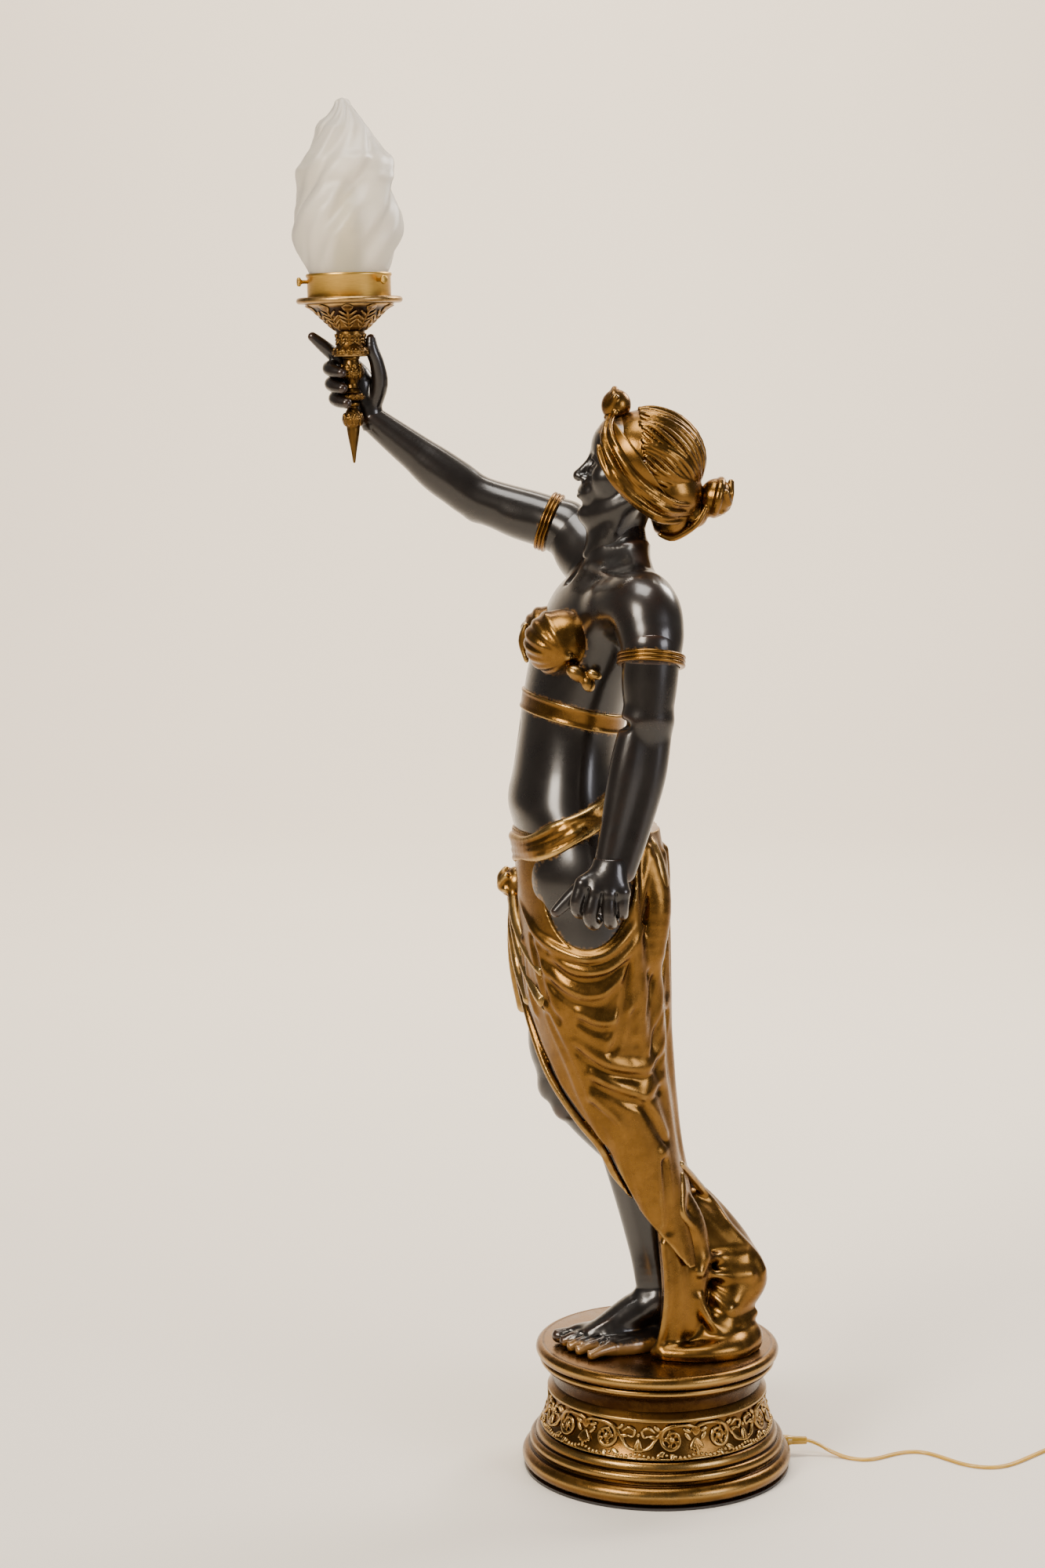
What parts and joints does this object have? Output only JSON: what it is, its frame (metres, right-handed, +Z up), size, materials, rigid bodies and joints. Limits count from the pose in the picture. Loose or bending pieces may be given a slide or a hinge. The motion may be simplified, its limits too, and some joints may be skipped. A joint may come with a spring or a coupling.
{
  "type": "torchiere floor lamp",
  "caption": "Floor lamp: a draped standing figure in two-tone bronze on a round moulded plinth holds up a torch with a flame-shaped frosted glass shade.",
  "frame": {"origin": "centre of the plinth's felt underside, on the floor", "axes": "+Z up; the figure faces -X and reaches the torch towards -X; its left side is towards -Y"},
  "size_m": [0.9038, 0.3232, 1.4168],
  "materials": {
    "skin_bronze": "dark patinated bronze, semi-gloss",
    "gold_bronze": "antique gold bronze, brown in the hollows",
    "torch_bronze": "gold bronze, duller and browner",
    "satin_brass": "satin brass",
    "zinc_steel": "zinc plated",
    "felt": "felt",
    "clear_gold_pvc": "translucent gold vinyl",
    "gold_plastic": "moulded gold plastic",
    "cream_plastic": "moulded cream plastic",
    "black_plastic": "moulded black plastic",
    "frosted_glass": "acid-frosted glass",
    "bulb_glass": "soft white coated glass",
    "bright_metal": "pressed shell"
  },
  "bodies": {
    "lamp": {"base_felt": "felt", "plinth_foot": "gold_bronze", "plinth_drum": "gold_bronze", "plinth_cap": "gold_bronze", "plinth_bolts": "zinc_steel", "plinth_nuts": "zinc_steel", "foot_bolts": "zinc_steel", "cord_bushing": "clear_gold_pvc", "left_leg": "skin_bronze", "right_leg": "skin_bronze", "skirt": "gold_bronze", "heel_drape": "gold_bronze", "hips": "skin_bronze", "hip_sash": "gold_bronze", "sash_knot": "gold_bronze", "back_fold": "gold_bronze", "front_fall": "gold_bronze", "torso": "skin_bronze", "bust_belt": "gold_bronze", "bodice": "gold_bronze", "head": "skin_bronze", "hair": "gold_bronze", "hair_ribbon": "gold_bronze", "top_knot": "gold_bronze", "hair_bun": "gold_bronze", "left_arm": "skin_bronze", "left_armlet": "gold_bronze", "left_hand": "skin_bronze", "right_arm": "skin_bronze", "right_armlet": "gold_bronze", "right_hand": "skin_bronze", "torch_spike": "torch_bronze", "torch_knop": "torch_bronze", "torch_grip": "torch_bronze", "torch_crown": "torch_bronze", "torch_cup": "torch_bronze", "drip_pan": "torch_bronze", "lamp_pipe": "zinc_steel", "pipe_nuts": "zinc_steel", "shade_holder": "satin_brass", "lampholder": "black_plastic", "holder_sleeve": "cream_plastic", "inner_lead": "clear_gold_pvc", "power_cord": "clear_gold_pvc", "cord_coil": "clear_gold_pvc", "coil_tie": "black_plastic", "switch_body": "gold_plastic", "plug_body": "gold_plastic", "plug_blades": "satin_brass"},
    "shade": {"shade": "frosted_glass"},
    "bulb": {"bulb_base": "bright_metal", "bulb_glass": "bulb_glass"},
    "wheel": {"switch_wheel": "cream_plastic"},
    "screw_1": {"shade_screw_1": "satin_brass"},
    "screw_2": {"shade_screw_2": "satin_brass"},
    "screw_3": {"shade_screw_3": "satin_brass"}
  },
  "joints": [
    {"name": "shade_lift", "type": "slide", "parent": "lamp", "child": "shade", "axis": [-0.0227, 0, 0.9997], "range_m": [0, 0.13]},
    {"name": "bulb_turn", "type": "hinge", "parent": "lamp", "child": "bulb", "pos_m": [-0.32096, 0.1, 1.26394], "axis": [-0.0227, 0, 0.9997], "continuous": true},
    {"name": "switch_turn", "type": "hinge", "parent": "lamp", "child": "wheel", "pos_m": [0.475, 0.0375, 0.007], "axis": [0, 0, 1], "continuous": true},
    {"name": "screw_1_out", "type": "slide", "parent": "lamp", "child": "screw_1", "axis": [-0.961, -0.2756, -0.0218], "range_m": [0, 0.004]},
    {"name": "screw_2_out", "type": "slide", "parent": "lamp", "child": "screw_2", "axis": [0.7192, -0.6947, 0.0163], "range_m": [0, 0.004]},
    {"name": "screw_3_out", "type": "slide", "parent": "lamp", "child": "screw_3", "axis": [0.2419, 0.9703, 0.0055], "range_m": [0, 0.004]}
  ]
}
